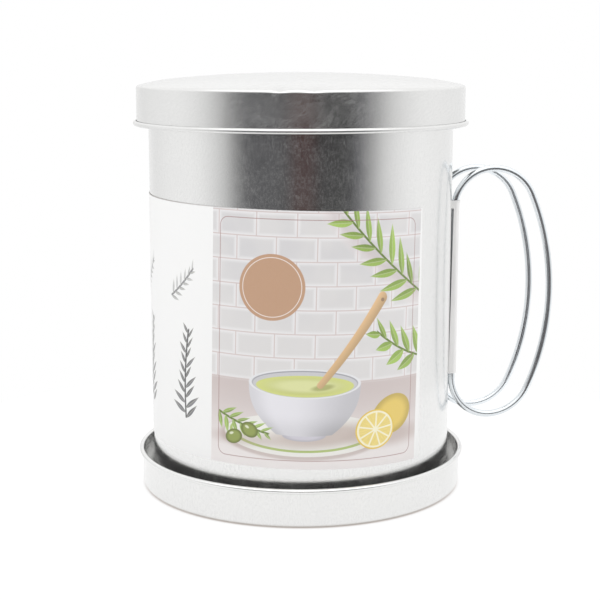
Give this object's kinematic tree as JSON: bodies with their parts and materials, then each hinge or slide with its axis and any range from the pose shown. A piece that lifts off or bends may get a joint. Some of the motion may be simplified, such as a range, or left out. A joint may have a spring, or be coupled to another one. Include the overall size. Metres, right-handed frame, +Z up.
{
  "type": "bacon grease container",
  "caption": "Cylindrical metal can for used cooking fat: domed lid, hanging strainer, bent-wire handle clipped to its side, paper sleeve, standing in a shallow saucer.",
  "frame": {"origin": "centre of the saucer's underside, on the surface that the object stands on", "axes": "+Z up along the can's axis, +X from the axis towards the middle of the handle, +Y away from the side that carries the printed front of the sleeve"},
  "size_m": [0.1405, 0.11, 0.1376],
  "materials": {
    "sheet_metal": "satin, with a very fine upright grain",
    "wire": "bright plated wire",
    "paper": "white coated paper, printed in front"
  },
  "bodies": {
    "saucer": {"saucer": "sheet_metal"},
    "pot": {"pot_body": "sheet_metal", "handle_ring_front": "wire", "handle_ring_rear": "wire", "handle_strap": "sheet_metal", "label_sleeve": "paper"},
    "strainer": {"strainer": "sheet_metal"},
    "lid": {"lid": "sheet_metal"}
  },
  "joints": [
    {"name": "pot_lift", "type": "slide", "parent": "saucer", "child": "pot", "axis": [0, 0, 1], "range_m": [0, 0.04]},
    {"name": "strainer_lift", "type": "slide", "parent": "pot", "child": "strainer", "axis": [0, 0, 1], "range_m": [0, 0.06]},
    {"name": "lid_lift", "type": "slide", "parent": "strainer", "child": "lid", "axis": [0, 0, 1], "range_m": [0, 0.04]}
  ]
}
